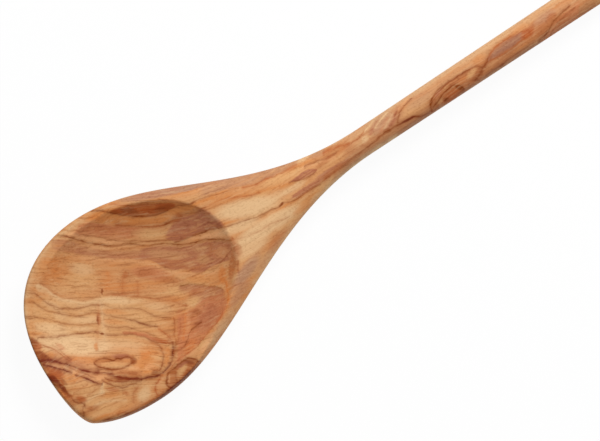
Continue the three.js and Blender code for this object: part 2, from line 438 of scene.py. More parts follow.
class Figure:
    """The wood's colour, built up in a material's nodes: each mark is laid over those before it.

    Places are pixels of the picture: right and down are measured along it.
    """

    # Room above and below a curve, so that a level one has a height too
    CURVE_ROOM = 1

    # Places of a Mix node's sockets for colours, which come after those for numbers and vectors
    MIX_UNDER = 6
    MIX_OVER = 7
    MIX_RESULT = 2

    def __init__(self, tree, colour=TAN, right=None, down=None, wear=None, streak=None):
        self.tree = tree
        self.colour = colour
        self.right = right
        self.down = down
        self.wear = wear
        self.streak = streak

    def add(self, kind, inputs=None, **settings):
        node = self.tree.nodes.new(kind)
        for name, value in settings.items():
            setattr(node, name, value)
        for socket, value in (inputs or {}).items():
            if isinstance(value, bpy.types.NodeSocket):
                self.tree.links.new(value, node.inputs[socket])
            else:
                node.inputs[socket].default_value = value
        return node

    def math(self, operation, *values):
        return self.add("ShaderNodeMath", dict(enumerate(values)), operation=operation).outputs[0]

    def vector(self, operation, *values):
        return self.add("ShaderNodeVectorMath", dict(enumerate(values)), operation=operation)

    def measure(self, place, direction, middle):
        """Pixels along a direction, counted so that the picture's centre is at middle."""
        along = self.vector("DOT_PRODUCT", place, direction / PIXEL).outputs["Value"]
        return self.math("ADD", along, middle - PICTURE_CENTRE.dot(direction) / PIXEL)

    def noise(self, place, sizes, detail=2):
        """Noise whose lumps are about as large as sizes each way."""
        scaled = self.vector("DIVIDE", place, sizes).outputs[0]
        return self.add("ShaderNodeTexNoise", {"Vector": scaled, "Scale": 1, "Detail": detail})

    def stir(self, place, length, reach):
        """Places moved about by up to half of reach, so that what is drawn there wavers."""
        colours = self.noise(place, (length, length, length)).outputs["Color"]
        centred = self.vector("SUBTRACT", colours, (0.5, 0.5, 0.5)).outputs[0]
        return self.vector("MULTIPLY_ADD", centred, (reach, reach, reach), place).outputs[0]

    def fade(self, value, start, end, after=1, before=0):
        """Goes smoothly from before, where value is start, to after, where it is end."""
        inputs = {"Value": value, "From Min": start, "From Max": end, "To Min": before, "To Max": after}
        settings = {"interpolation_type": "SMOOTHSTEP", "clamp": False}
        return self.add("ShaderNodeMapRange", inputs, **settings).outputs[0]

    def curve(self, points, along):
        """Height of a smooth curve through points at each place along it, and the share of its run there."""
        places, heights = zip(*points)
        low = min(heights) - self.CURVE_ROOM
        span = max(heights) + self.CURVE_ROOM - low
        run = places[-1] - places[0]
        share = self.math("MULTIPLY_ADD", along, 1 / run, -places[0] / run)
        node = self.add("ShaderNodeFloatCurve", {"Value": share})
        line = node.mapping.curves[0].points
        line[0].location = (0, (heights[0] - low) / span)
        line[1].location = (1, (heights[-1] - low) / span)
        for place, height in points[1:-1]:
            line.new((place - places[0]) / run, (height - low) / span)
        node.mapping.update()
        return self.math("MULTIPLY_ADD", node.outputs[0], span, low), share

    def within(self, share, ends):
        """1 along a run and 0 past its ends, where it fades over a share of the run."""
        from_middle = self.math("ABSOLUTE", self.math("SUBTRACT", share, 0.5))
        return self.fade(from_middle, 0.5, 0.5 - ends)

    def offset(self, direction, centre, reach):
        """How far a place lies from a centre along a direction, as a share of a reach."""
        right, down = direction
        middle = -(centre[0] * right + centre[1] * down) / reach
        part = self.math("MULTIPLY_ADD", self.right, right / reach, middle)
        return self.math("MULTIPLY_ADD", self.down, down / reach, part)

    def square_out(self, centre, reach, turn):
        """Square of how far a place lies out from an oval's centre: 1 on the oval."""
        turn = math.radians(turn)
        along = self.offset((math.cos(turn), math.sin(turn)), centre, reach[0])
        across = self.offset((-math.sin(turn), math.cos(turn)), centre, reach[1])
        return self.math("MULTIPLY_ADD", across, across, self.math("MULTIPLY", along, along))

    def lay(self, colour, cover, blend="MIX"):
        inputs = {0: cover, self.MIX_UNDER: self.colour, self.MIX_OVER: colour}
        mix = self.add("ShaderNodeMix", inputs, data_type="RGBA", blend_type=blend)
        self.colour = mix.outputs[self.MIX_RESULT]

    def lay_marks(self, name, marks):
        """Lays marks in a node group of their own, which keeps the trees short."""
        group = bpy.data.node_groups.new(name, "ShaderNodeTree")
        inputs = {
            "Colour": self.colour,
            "Right": self.right,
            "Down": self.down,
            "Wear": self.wear,
            "Streak": self.streak,
        }
        for socket in inputs:
            kind = "NodeSocketColor" if socket == "Colour" else "NodeSocketFloat"
            group.interface.new_socket(socket, in_out="INPUT", socket_type=kind)
        group.interface.new_socket("Colour", in_out="OUTPUT", socket_type="NodeSocketColor")
        figure = Figure(group, *group.nodes.new("NodeGroupInput").outputs[:len(inputs)])
        for mark in marks:
            figure.lay(mark.colour, mark.cover(figure))
        figure.add("NodeGroupOutput", {0: figure.colour})
        self.colour = self.add("ShaderNodeGroup", inputs, node_tree=group).outputs[0]


@dataclass
class Line:
    """A worn line through points of the picture, half as strong at a width above it and a width below."""

    colour: tuple
    strength: float
    above: float
    below: float
    points: tuple
    ends: float = 0.06
    upright: bool = False

    def cover(self, wood):
        along, across = (wood.down, wood.right) if self.upright else (wood.right, wood.down)
        points = [point[::-1] for point in self.points] if self.upright else self.points
        height, share = wood.curve(points, along)
        offset = wood.math("SUBTRACT", across, height)
        upward = wood.math("DIVIDE", offset, -self.above)
        out = wood.math("MAXIMUM", wood.math("DIVIDE", offset, self.below), upward)
        core = wood.math("MULTIPLY", wood.math("POWER", 0.5, out), wood.within(share, self.ends))
        return wood.math("MULTIPLY", core, wood.math("MULTIPLY", wood.wear, self.strength))


@dataclass
class Band:
    """The area between an upper and a lower line of the picture, with how softly each side ends."""

    colour: tuple
    strength: float
    soft_above: float
    soft_below: float
    upper: tuple
    lower: tuple
    ends: float = 0.08

    def cover(self, wood):
        top, share = wood.curve(self.upper, wood.right)
        bottom, _ = wood.curve(self.lower, wood.right)
        below_top = wood.math("SUBTRACT", wood.down, top)
        above_bottom = wood.math("SUBTRACT", bottom, wood.down)
        from_top = wood.fade(below_top, -self.soft_above, self.soft_above, self.strength)
        from_bottom = wood.fade(above_bottom, -self.soft_below, self.soft_below)
        between = wood.math("MULTIPLY", from_top, from_bottom)
        along = wood.math("MULTIPLY", wood.within(share, self.ends), wood.streak)
        return wood.math("MULTIPLY", between, along)


@dataclass
class Patch:
    """A soft oval with its centre, half sizes and turn (degrees, clockwise), full over a core share of it."""

    colour: tuple
    strength: float
    centre: tuple
    reach: tuple
    turn: float = 0
    core: float = 0

    def cover(self, wood):
        out = wood.square_out(self.centre, self.reach, self.turn)
        return wood.fade(out, 1, self.core ** 2, self.strength)


@dataclass
class Knot:
    """A place that the grain swells round, with its half sizes and how far it pushes the grain."""

    centre: tuple
    reach: tuple
    turn: float
    push: float


KNOTS = (
    Knot((140, 210), (55, 14), -3, 9),
    Knot((112, 360), (80, 34), 6, 20),
    Knot((182, 372), (20, 16), -40, 10),
    Knot((456, 90), (34, 15), -36, 9),
)

# Figure on the rim and the walls of the hollow, down to its floor
HOLLOW_MARKS = (
    # Rim, its dusky wood with painted sheen over it, almond and the gold round it
    Patch(DUSK_AND_PAINTED_SHEEN, 0.8, (150, 195), (44, 6), -10, 0.3),
    Patch(MAUVE, 0.45, (152, 195), (34, 5), -10),
    Patch(GOLD, 0.6, (165, 203), (26, 6), 2, 0.4),
    Line(BROWN, 0.8, 0.5, 1.8,
         ((112, 210.5), (121, 208), (142, 203), (157, 200), (175, 200.8), (190.5, 204.8), (202, 210),
          (216.5, 217.8), (225.5, 226.8), (232.5, 237.5))),
    Band(GOLD, 0.85, 1, 1.5,
         ((84, 213), (100, 212), (113, 213.5), (137, 216.5), (160, 213.5), (180, 205.5), (200, 200)),
         ((84, 222), (100, 223), (125, 225), (155, 224.5), (165, 221), (175, 216), (200, 206.5))),
    Patch(ORANGE, 0.25, (98, 219), (20, 4), -6),
    Patch(HONEY, 0.5, (92, 211), (10, 4), -20),
    Band(RUST, 0.9, 1, 1,
         ((108, 212), (120, 208), (130, 206.5), (145, 205.5), (168, 203.5), (177, 205)),
         ((108, 213), (125, 215.5), (137, 216.5), (148, 216.5), (158, 214.5), (168, 211), (177, 206)), 0.05),
    Patch(UMBER, 0.75, (130, 211.5), (11, 4), 6, 0.2),
    Patch(UMBER, 0.6, (163, 208.5), (12, 3.4), -16),
    Line(GOLD, 0.35, 0.9, 0.75, ((136, 209), (145, 208), (156, 206.5))),
    Line(RUST, 0.8, 0.68, 0.68, ((108, 205.5), (120, 205.5), (130, 206), (140, 206), (150, 204))),
    Line(LINE, 0.9, 1.2, 0.68,
         ((86, 211.5), (105, 212), (113, 213.5), (125, 215.5), (137, 216.5), (148, 216), (160, 213.5),
          (170, 210), (180, 205.5), (190, 203.5), (198, 199))),

    # Rose and honey under the gold, and the mauve lobe at the right
    Band(ROSE, 0.8, 1.5, 2,
         ((68, 236), (76, 229), (86, 222.5), (100, 223.5), (120, 226), (148, 229)),
         ((68, 237), (80, 236), (100, 238), (120, 239), (135, 238), (148, 233)), 0.12),
    Patch(BROWN, 0.35, (98, 228), (24, 5), 4),
    Patch(HONEY, 0.7, (150, 234), (25, 7), 0, 0.2),
    Line(BROWN, 1, 1.5, 1.4,
         ((112, 225), (130, 226), (145, 226.5), (156, 225.8), (164, 224.6), (174, 220.6), (181, 215.6))),
    Line(LINE, 0.75, 0.83, 0.9,
         ((162, 225), (174, 220.6), (181, 215.6), (186, 213.7), (195, 212.5), (202.5, 208.7), (208, 206))),
    Band(MAUVE, 0.85, 2.6, 1,
         ((163, 236), (169, 229), (175, 221), (182, 216), (190, 215), (204, 210), (214, 216), (226, 227)),
         ((163, 238), (169, 240.5), (175, 241.5), (182, 240), (190, 237.5), (200, 233), (212, 229.5),
          (226, 228))),
    Patch(BROWN, 0.85, (176, 218.5), (10, 5), -40),
    Patch(PEACH, 0.9, (212, 235.5), (16, 4), -14, 0.3),
    Band(PEACH, 0.6, 0.8, 1,
         ((176, 243), (190, 238.5), (203, 233), (212, 230), (222, 229), (232, 233)),
         ((176, 244), (190, 243.5), (200, 240.5), (211, 239), (222, 239), (232, 240))),
    Line(LINE, 0.85, 0.9, 0.68,
         ((172, 243), (184, 240), (193, 236.5), (203, 232.5), (212, 229), (224, 227.5))),

    # The long lines across the hollow, with the mauve band under them
    Line(PEACH, 0.9, 2.4, 1.7, ((64, 234), (80, 237), (95, 240.5), (110, 242.5), (128, 242))),
    Patch(PEACH, 0.5, (106, 242.5), (12, 3), 4),
    Line(LINE, 0.55, 0.52, 0.6,
         ((74, 233.5), (100, 238), (120, 240.6), (132, 241.5), (151, 241.5), (174, 240.6))),
    Band(MAUVE, 0.42, 1.5, 1.2,
         ((48, 240), (60, 239), (70, 241), (80, 245), (95, 249), (110, 250.5), (130, 251.5), (156, 250)),
         ((48, 247), (60, 251), (70, 253), (85, 255.5), (100, 257.5), (115, 258.5), (130, 259), (156, 262))),
    Line(MAUVE, 0.45, 2.2, 1, ((72, 251.5), (86, 254.5), (100, 256.5), (115, 257.5), (132, 258), (146, 260))),
    Line(PEACH, 0.5, 0.9, 1.2, ((84, 246), (98, 248), (112, 248.5), (126, 247.5), (142, 248.5))),
    Band(MAUVE, 0.75, 1.5, 1,
         ((136, 253), (150, 247), (165, 246), (184, 246), (203, 243), (213, 241), (236, 243)),
         ((136, 258), (152, 261.5), (160, 266), (166, 268.5), (175, 270), (183, 269), (197, 273), (209, 269),
          (220, 263), (236, 258))),
    Patch(HONEY, 0.4, (166, 255), (28, 6), 4),
    Patch(HONEY, 0.3, (199, 249), (9, 5)),
    Patch(ROSE, 0.6, (222, 252), (12, 9), -20),
    Patch(HONEY, 0.35, (222, 252), (10, 7), -20),
    Line(BROWN, 0.4, 1.5, 1.5, ((209, 242), (211, 250), (208, 258), (201, 266)), upright=True),
    Patch(HONEY, 0.5, (203, 259), (8, 7)),
    Line(BROWN, 0.5, 1.9, 1.5, ((158, 263), (168, 266.5), (180, 266), (190, 268.5), (202, 268))),
    Line(LINE, 0.95, 0.68, 0.75,
         ((52, 238.5), (57, 236.5), (61, 235.6), (70, 237.5), (79, 240), (90, 243), (100, 245), (112, 245.6),
          (120, 245), (127.5, 243.7), (135, 245), (145, 245.6), (155, 244.4), (167, 244), (180, 244.4),
          (195, 243), (201, 240.6), (211, 239.4), (225, 240), (236, 241.5))),
    Line(PEACH, 0.6, 0.9, 1.7,
         ((66, 256), (85, 258), (110, 260.5), (130, 261), (150, 263.5), (160, 268.5), (175, 272.5),
          (190, 273.5), (201, 276), (212, 273), (222, 267))),

    # The gold floor at the left, flecks in the middle and brown tongues at the right
    Patch(GOLD, 0.35, (62, 270), (44, 20), 2, 0.4),
    Patch(ORANGE, 0.2, (50, 268), (16, 14), -20),
    Patch(HONEY, 0.7, (80, 281), (24, 14)),
    Patch(HONEY, 0.5, (60, 289), (16, 6), 14),
    Patch(HONEY, 0.6, (178, 292), (16, 7), 4),
    Patch(PALE, 0.5, (81, 269), (17, 8), 8),
    Patch(ROSE, 0.8, (150, 273.5), (26, 8.5), 8, 0.3),
    Patch(BROWN, 0.45, (144, 274), (14, 7), 8),
    Patch(BROWN, 0.4, (127, 274), (10, 7), 30),
    Patch(BROWN, 0.45, (170, 280), (22, 5), 8),
    Patch(RUST, 0.5, (124, 275), (4, 6), 30),
    Line(RUST, 0.5, 2.6, 2.6, ((121.5, 277), (122, 288), (122, 298)), 0.15, upright=True),
    Line(RUST, 0.55, 1.6, 1.6, ((137, 278), (137.5, 288), (138, 299)), 0.15, upright=True),
    Line(ORANGE, 0.45, 2.2, 2.2, ((106, 268), (107, 280), (104, 293)), 0.2, upright=True),
    Patch(GOLD, 0.6, (203, 279), (24, 6), -4, 0.3),
    Patch(ORANGE, 0.55, (222, 275), (5, 12)),
    Band(MAUVE, 0.6, 0.8, 4,
         ((176, 287), (190, 285.5), (205, 286), (215, 287.5), (226, 291)),
         ((176, 290), (190, 296), (203, 308), (214, 318), (226, 300))),
    Line(LINE, 0.7, 0.6, 1, ((178, 286), (195, 284.5), (205, 285.5), (215, 287), (224, 290))),
    Patch(BROWN, 0.5, (214, 303), (9, 12), 10),
    Patch(RUST, 0.5, (233, 262), (4.5, 26), 8, 0.3),
    Patch(RUST, 0.75, (236.5, 249), (3.4, 11), -14, 0.2),
    Line(UMBER, 0.6, 0.68, 0.68, ((219, 264), (226, 256), (232, 248))),
    Line(BROWN, 0.8, 2.2, 0.5, ((230.5, 234), (235.5, 245), (237.5, 258), (238.5, 274)), 0.12, upright=True),
    Line(UMBER, 0.7, 0.75, 0.75, ((234, 243), (236.5, 255), (238.5, 268), (240, 278)), upright=True),
    Line(ORANGE, 0.85, 1.2, 1.4, ((225, 280), (227, 290), (228, 298), (224, 310), (216, 323)), upright=True),
    Patch(HONEY, 0.7, (194, 302), (10, 7), -20),
)

# The part of the oval's outline on which a rose band ends
OVAL_TOP = ((120, 335), (132, 335), (138, 336.5), (146, 338.5), (153, 341.5))

# Figure on the front half of the bowl
FRONT_MARKS = (
    # Pale ground
    Patch(HONEY, 0.8, (92, 318), (84, 30), 4, 0.5),
    Patch(PALE, 0.7, (52, 329), (24, 7), 8, 0.3),
    Patch(PALE, 0.5, (84, 320), (22, 5)),
    Patch(PALE, 0.5, (52, 306), (14, 5), 24),
    Patch(PALE, 0.4, (60, 316), (10, 7), 10),
    Patch(PALE, 0.4, (40, 289), (6, 4), 40),
    Patch(PALE, 0.5, (118, 301), (34, 5), 2),
    Patch(PALE, 0.4, (158, 307), (18, 6), 8),
    Patch(PALE, 0.95, (72, 345), (48, 13), 6, 0.4),
    Patch(PALE, 0.4, (122, 346), (34, 9), 6, 0.2),
    Patch(PALE, 0.5, (80, 329), (16, 3.5), 2),
    Line(PALE, 0.8, 1.2, 3,
         ((34, 285), (45, 289), (53, 295), (62, 299), (72, 301.5), (82, 303.5), (95, 301), (112, 299),
          (130, 300))),
    Line(BROWN, 0.4, 3.5, 0.8,
         ((38, 282), (45, 287), (53, 293), (62, 297), (70, 299), (80, 301), (90, 300), (96, 297),
          (104, 294))),
    Line(GOLD, 0.1, 3, 3, ((31, 299), (36, 299), (46, 306), (58, 310), (72, 311.5), (86, 311))),
    Patch(GOLD, 0.3, (29, 307), (6, 14), 0, 0.2),
    Patch(GOLD, 0.3, (31, 328), (5, 13), -12, 0.2),
    Patch(GOLD, 0.5, (112, 312), (20, 4), 6),
    Patch(GOLD, 0.5, (112, 322), (20, 3.5), 8),

    # Painted sheen along the front edge, as a pale line
    Line(PALE, 0.55, 2.2, 2.2,
         ((26.5, 330), (25.5, 312), (26, 298), (29.5, 280), (38, 260.5), (48, 247), (60, 235), (74, 224.5),
          (92, 213)), 0.1, upright=True),

    # Long lines above the oval
    Line(BROWN, 0.75, 1.4, 0.8,
         ((100, 295), (120, 296), (130, 296.5), (145, 298), (160, 299.5), (170, 301.5), (180, 304),
          (190, 306.5))),
    Line(LINE, 0.6, 0.9, 1,
         ((22, 293.5), (33, 293), (36, 294.5), (42, 299), (48, 304), (54, 306.5), (64, 308.5), (76, 308.2),
          (85, 307), (92, 305.5), (100, 305), (105, 306.2), (112, 308.5), (120, 309.5), (128, 308.7),
          (135, 309.2), (143, 310.8), (148, 313.5), (154, 316), (162, 317.8), (176, 318.2))),
    Line(LINE, 0.6, 1, 0.9,
         ((22, 303.3), (33, 302.5), (37, 304.5), (42, 308.5), (49, 311.5), (57, 312.5), (64, 314.7),
          (72, 315.7), (80, 315.8), (88, 314), (96, 313.5), (105, 315), (115, 317.5), (125, 319.5),
          (133, 321.5), (140, 324), (146, 325.8), (154, 326.5), (161, 327.6))),
    Line(PURPLE, 0.55, 0.8, 0.8, ((128, 320.4), (133, 321.5), (140, 324), (146, 325.8), (158, 327.3))),
    Line(LINE, 0.55, 0.9, 0.9,
         ((21, 317), (33, 316.5), (40, 318.2), (48, 319.5), (55, 322), (62, 323.8), (74, 324.5), (84, 325.2),
          (94, 324), (100, 323.5), (105, 326), (115, 327.5), (126, 328), (133, 330), (142, 332.5), (150, 335),
          (160, 338))),
    Band(ROSE, 0.9, 1.5, 0.8,
         ((120, 333), (132, 332.5), (142, 334), (150, 336.5), (158, 339.5), (168, 343)),
         (*OVAL_TOP, (168, 344))),
    Line(RUST, 0.7, 1, 1, ((156, 328.5), (160, 330.5), (165, 334), (170, 339), (174, 346))),
    Patch(RUST, 0.8, (162, 341.5), (12, 3.4), 14),
    Patch(BROWN, 0.5, (154, 343), (8, 3), 20),
    Patch(BROWN, 0.45, (170, 339), (5, 5)),
    Line(BROWN, 0.8, 0.9, 0.9,
         ((173.5, 316), (174, 321), (174.5, 328), (174, 335), (176, 342), (174, 350)), upright=True),

    # The oval's outline and the ring in it
    Line(LINE, 0.75, 0.9, 1,
         ((32, 344.5), (34, 342.5), (37, 339.5), (41, 337), (50, 337.3), (58, 336.5), (66, 335.3),
          (76, 334.5), (86, 333.2), (95, 331.8), (101, 334), (110, 335), *OVAL_TOP, (160, 343.5),
          (172, 343.5))),
    Line(PURPLE, 1, 1.5, 1.6,
         ((171, 342), (173.3, 349), (172.5, 357), (170.5, 364), (166, 369.5), (160, 374.5),
          (154, 378)), 0.04, upright=True),
    Line(UMBER, 0.8, 0.9, 0.9,
         ((156, 345), (162, 351), (163.5, 356), (162.5, 363), (159, 371)), upright=True),
    Patch(GOLD, 0.6, (148, 353), (13, 9), 10),
    Patch(GOLD, 0.65, (144, 363), (15, 8), -10),
    Patch(PEACH, 0.6, (149, 367), (7, 4), -20),
    Patch(ORANGE, 0.4, (145, 355), (8, 5), -20),
    Patch(GOLD, 0.6, (167, 356), (3.5, 12), 6),

    # The cross crack
    Line(PALE, 0.5, 2, 2, ((99, 296), (101, 310), (102.5, 330), (104, 345), (104, 354)), 0.15, upright=True),
    Line(RUST, 0.3, 1.3, 1.3,
         ((98.5, 296), (97.5, 308), (97.5, 320), (97, 334), (95.5, 354)), 0.15, upright=True),
    Patch(RUST, 0.55, (98, 319), (3, 8), -6),
    Patch(UMBER, 0.8, (97, 320), (1.5, 6)),
    Patch(UMBER, 0.85, (101.6, 291.5), (1.6, 4)),
    Patch(LINE, 0.8, (101.5, 333.7), (2.4, 1.5)),
    Patch(LINE, 0.7, (95, 332), (2, 1.2)),
    Patch(GOLD, 0.7, (95.5, 347), (2.4, 5)),
)

# Top of the knot at the corner's side, as a band and as a line
CORNER_KNOT_TOP = ((169, 372), (174, 368), (180, 363), (186, 359), (190, 358))

# Figure round the eye, the corner and the knot beside it
CORNER_MARKS = (
    # Ground of the corner, with short strokes across it
    Patch(HONEY, 0.6, (112, 394), (48, 20), -14, 0.3),
    Patch(GOLD, 0.3, (120, 402), (26, 9), -18, 0.2),
    Patch(GOLD, 0.6, (111, 395), (15, 5), -10),
    Patch(HONEY, 0.5, (86, 385), (12, 6), -20),
    Patch(HONEY, 0.5, (104, 410), (20, 6), -10),
    Patch(PALE, 0.65, (144.5, 394), (11, 8), -55, 0.3),
    Patch(PALE, 0.6, (102.5, 388), (2.6, 9), 6),
    Line(PALE, 0.7, 1, 1, ((80, 403), (88, 399.5), (97, 395.5), (106, 392))),
    Line(PALE, 0.5, 0.8, 0.8, ((74, 384), (84, 379), (92, 382))),
    Line(BROWN, 0.6, 0.8, 0.8, ((72, 394), (80, 389), (88, 383.5))),
    Line(BROWN, 0.5, 0.8, 0.8, ((86, 396), (96, 390), (102, 386))),
    Line(PALE, 0.5, 1, 1, ((92, 406.5), (108, 402), (128, 400))),
    Patch(RUST, 0.7, (113, 389.5), (9, 3)),
    Patch(RUST, 0.5, (126, 393), (5, 3), 20),
    Line(BROWN, 0.7, 1.8, 1.8, ((140.5, 383.5), (136, 389), (133.6, 394), (134.5, 405)), 0.15, upright=True),
    Patch(RUST, 0.8, (80.5, 399), (8, 5), 12),
    Patch(BROWN, 0.5, (88, 407), (6, 3), 10),
    Patch(BROWN, 0.5, (93, 408), (10, 4), -10),

    # Dark wood at the left edge
    Patch(UMBER, 0.85, (32.5, 343), (8, 4), 66, 0.2),
    Patch(RUST, 0.75, (37, 346), (7, 5), 40),
    Patch(UMBER, 0.7, (34, 342), (6, 4), 60),
    Band(BROWN, 0.9, 3, 2,
         ((28, 341), (36, 349), (42, 352.5), (50, 357), (60, 361)),
         ((28, 352), (36, 359), (42, 362.5), (50, 363.5), (60, 363)), 0.1),
    Patch(UMBER, 0.8, (43, 357), (12, 5), 36, 0.2),
    Patch(PURPLE, 0.95, (47, 361), (12, 2.6), 2, 0.4),
    Patch(PURPLE, 0.5, (41, 363), (5, 3), 30),
    Patch(RUST, 0.85, (54, 371), (15, 7), 34, 0.3),
    Band(UMBER, 0.9, 2, 1.5,
         ((42, 371), (50, 375.5), (57, 379), (64, 387), (70, 395)),
         ((42, 378), (50, 383), (57, 388), (64, 393), (70, 398)), 0.06),
    Patch(RUST, 0.6, (68, 396), (11, 5), 44, 0.2),
    Patch(BROWN, 0.5, (71, 405), (6, 4), 50),
    Patch(PURPLE, 1, (53.5, 378.5), (10, 4), 40, 0.3),
    Patch(PURPLE, 0.9, (62, 387), (7, 2.6), 52, 0.2),
    Patch(UMBER, 0.6, (63, 381), (7, 3.4), 46),
    Line(RUST, 0.7, 1.2, 1.2, ((47, 374.5), (54, 374.5), (60, 379), (65, 386))),
    Patch(ORANGE, 0.6, (62, 394), (9, 3), 46),
    Line(UMBER, 0.9, 1.1, 1.1,
         ((60, 384), (63, 386), (67, 392), (71, 397), (73, 401.5), (78, 402.5), (83, 404), (86, 408))),
    Line(UMBER, 0.8, 0.9, 0.9, ((84.5, 405), (82.5, 410), (83.7, 413.5), (83, 418)), 0.1, upright=True),
    Line(BROWN, 0.8, 0.8, 0.8, ((38, 344), (41, 345), (50, 348), (58, 352.5), (64, 358), (72, 364))),
    Line(BROWN, 0.6, 0.8, 0.8, ((50, 344.5), (60, 351), (66, 357), (72, 361))),
    Patch(ROSE, 0.5, (60, 347), (8, 3), 35),

    # Lines that run under the eye
    Line(MAUVE, 0.45, 3, 1.2, ((52, 357), (64, 361), (76, 365), (90, 369.5), (102, 371.5))),
    Line(PEACH, 0.95, 1.2, 1.2, ((44, 364), (58, 366), (70, 370), (80, 374), (92, 378), (104, 381))),
    Line(PEACH, 0.95, 1, 1, ((70, 367.5), (80, 371), (92, 374.5), (104, 376.5), (112, 379))),
    Line(PURPLE, 1.1, 1.6, 1.3,
         ((38, 361), (52, 360.5), (60, 363), (70, 366), (80, 369.5), (90, 371.5), (100, 372.5), (108, 373.4),
          (116, 375))),
    Line(PURPLE, 1, 1.2, 1.2, ((42, 364.3), (56, 367.5), (63, 370), (73, 373))),
    Line(PURPLE, 0.4, 0.8, 0.8, ((64, 366), (70, 368.7), (80, 372), (88, 375), (97, 378))),
    Line(PURPLE, 1, 1.2, 1.2, ((74, 374.5), (86, 378.5), (92, 381), (98, 383.5), (104, 385))),
    Patch(BROWN, 0.65, (127, 373.5), (17, 3.4), 0, 0.3),
    Patch(PURPLE, 0.85, (128, 379), (16, 2.2), 0, 0.3),
    Line(PURPLE, 1, 1.8, 1.8,
         ((106, 372.5), (112, 375), (116, 377.3), (125, 378.8), (135, 378.5), (143, 379))),
    Line(UMBER, 0.9, 1, 1, ((103, 377), (110, 380), (120, 381.5), (130, 381.8), (141, 380.5))),
    Line(UMBER, 0.9, 1, 1, ((100, 380), (110, 384), (116, 386.3), (124, 387.2), (130, 385), (138, 382))),
    Line(PURPLE, 1, 1.2, 1.2, ((140, 379), (148, 377), (155, 376), (162, 373))),
    Patch(UMBER, 0.8, (155, 372), (6, 3.6), -25),
    Line(PEACH, 0.6, 0.9, 0.9, ((98, 370.5), (112, 371.8), (126, 370), (140, 367.5))),

    # The eye
    Patch(MAUVE, 0.85, (121, 356.8), (13, 3.8), 2, 0.2),
    Line(LINE, 1, 1.1, 1.1,
         ((92, 364.5), (94, 363), (96, 361), (102, 359), (107, 359.2), (113, 360.5), (116, 358.6), (121, 359),
          (126, 357.3), (130, 358), (133, 360), (135, 363))),
    Line(LINE, 1, 1.1, 1.1,
         ((92, 362), (94, 363.5), (96, 365.5), (103, 368), (112, 370), (120, 369.5), (127, 367), (131, 364),
          (134.5, 360))),
    Patch(UMBER, 0.8, (133, 361), (4.5, 5)),
    Patch(HONEY, 0.5, (113, 364.5), (16, 3.8)),

    # The knot at the corner's side and the lines beside it
    Line(PEACH, 0.7, 1.5, 1.5, ((157, 386), (166, 373), (176, 362), (188, 354), (198, 348))),
    Band(BROWN, 0.8, 0.8, 1,
         ((165, 379), *CORNER_KNOT_TOP, (201, 361.5)),
         ((165, 383), (170, 388), (178.7, 384), (187.5, 376), (195, 369), (201, 363)), 0.03),
    Patch(HONEY, 0.75, (182, 370), (9, 4.5), -50, 0.2),
    Patch(MAUVE, 0.8, (183, 363.5), (9, 2.6), -30),
    Patch(PURPLE, 0.55, (190, 362), (6, 3.2), 10),
    Line(LINE, 0.95, 0.9, 0.9, ((165.5, 379), *CORNER_KNOT_TOP, (200, 362))),
    Line(LINE, 0.95, 0.9, 0.9,
         ((169, 371), (167, 376), (166.5, 381), (167.5, 385), (171, 389)), upright=True),
    Line(PEACH, 0.7, 0.6, 0.6, ((170.5, 373), (169, 378), (169.5, 383)), 0.15, upright=True),
    Line(UMBER, 0.6, 0.7, 0.7, ((176.5, 371), (176, 377), (179, 383)), 0.1, upright=True),
    Line(RUST, 0.85, 0.9, 0.9, ((164, 372), (159, 380), (156, 386), (156, 390), (158.5, 396)), upright=True),
    Line(BROWN, 0.8, 0.8, 0.8, ((173, 355), (175, 351.5), (178, 349.5), (182, 347.5), (185.5, 343))),
)

# Figure at the right of the hollow, with painted sheen on its rim there, and dark wood with painted shade
# along the corner side's edge
RIGHT_MARKS = (
    Band(ROSE, 0.8, 3, 1.5,
         ((176, 318), (190, 310), (205, 300), (218, 296), (228, 300)),
         ((176, 366), (190, 352), (205, 336), (218, 322), (228, 306)), 0.06),
    Patch(MAUVE, 0.55, (207, 318), (12, 20), 36, 0.2),
    Patch(ROSE, 0.5, (179, 322), (5, 20), 2),
    Patch(PEACH, 0.3, (187, 320), (4, 20), 6),
    Patch(BROWN, 0.4, (191, 315), (5, 6)),
    Patch(ORANGE, 0.4, (190, 346), (6, 12), 38),
    Line(UMBER, 0.9, 0.9, 0.9, ((184, 347), (187, 341), (189, 335), (190, 330), (194, 327), (202, 321.5))),
    Line(UMBER, 0.5, 0.68, 0.68, ((176, 352), (184, 347), (190, 340))),
    Patch(UMBER, 0.5, (197, 312), (6, 4), 20),
    Line(BROWN, 0.6, 0.75, 0.75, ((180, 322), (179, 334), (177, 346)), upright=True),
    Line(ORANGE, 0.5, 1.1, 1.1, ((186, 312), (184, 326), (183, 342)), upright=True),
    # Painted sheen on the rim strip along the corner side
    Patch(DUSK_AND_PAINTED_SHEEN, 0.3, (219, 331), (30, 7), -54, 0.3),
    Patch(PALE, 0.35, (219, 331), (18, 5), -54),
    Patch(DUSK_AND_PAINTED_SHEEN, 0.5, (239, 295), (22, 6), -56, 0.2),
    Patch(PEACH, 0.6, (206, 345), (14, 4), -50),
    Line(RUST, 0.75, 0.75, 0.9,
         ((163, 375), (170, 368.7), (177.5, 360.5), (187.5, 353), (195, 347.5), (200, 341.5), (210, 331),
          (220, 318), (226, 306))),
    # Dark wood on the steep wall along the corner side's edge, darkened further with painted shade
    Line(UMBER, 1.2, 1.5, 4,
         ((96, 422.4), (110, 419.4), (130, 413.2), (140, 409), (150, 403.8), (160, 397.8), (168, 392),
          (175, 387), (183, 380.5), (190, 374.5), (197, 367.8), (204, 360), (213, 348.5)), 0.14),
    Line(PURPLE, 1.2, 0.9, 4,
         ((150, 404), (160, 398), (168, 391), (175, 384.5), (183, 377.8), (190, 372), (204, 357.5)), 0.2),
    Line(RUST, 0.7, 0.9, 0.9, ((116, 415.5), (130, 410.6), (145, 404), (157, 396.8), (166, 390.5))),
)
